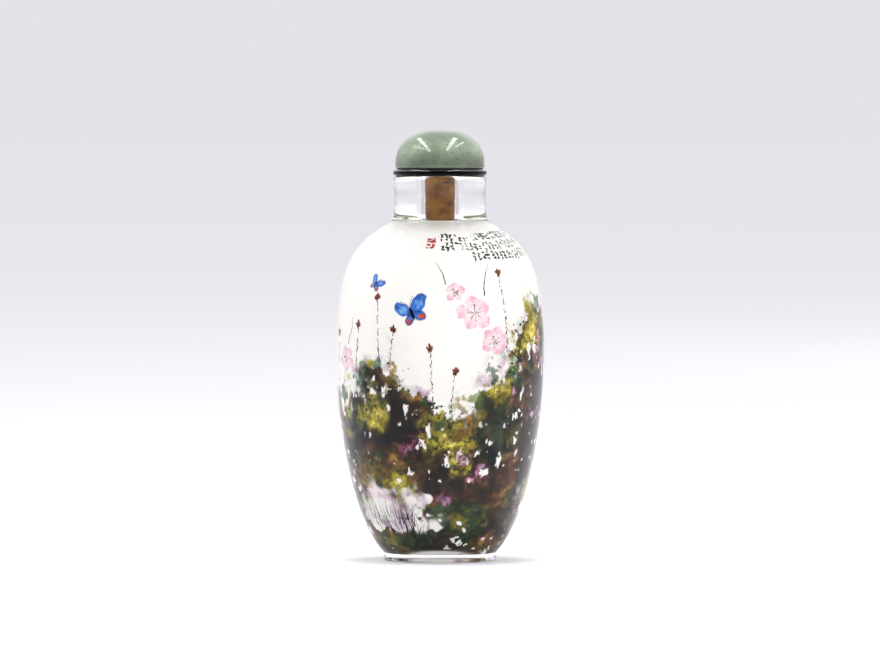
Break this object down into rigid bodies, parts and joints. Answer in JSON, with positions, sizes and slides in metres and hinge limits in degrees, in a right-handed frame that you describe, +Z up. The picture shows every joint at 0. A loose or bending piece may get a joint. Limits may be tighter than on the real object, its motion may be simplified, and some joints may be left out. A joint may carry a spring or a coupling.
{
  "type": "inside-painted bottle",
  "caption": "Small round bottle of clear glass with a painted inner wall, a waisted neck and a low foot ring, closed by a cork stopper with a black collar and a green stone dome.",
  "frame": {"origin": "middle of the foot ring's underside, at the centre of the bottom of the bounding box", "axes": "+Z up along the bottle's axis; the side seen in the picture faces -Y; +X is to the right of that side"},
  "size_m": [0.0458, 0.0458, 0.095],
  "materials": {
    "clear_glass": "polished clear glass",
    "green_stone": "polished pale green stone with a fine speckle",
    "black_collar": "polished black",
    "cork_bark": "natural cork",
    "inner_painting": "matt white ground with ink and colour washes, on the inner wall"
  },
  "bodies": {
    "root": {"bottle": "clear_glass", "stopper_cork": "cork_bark", "stopper_collar": "black_collar", "stopper_dome": "green_stone"}
  },
  "joints": []
}
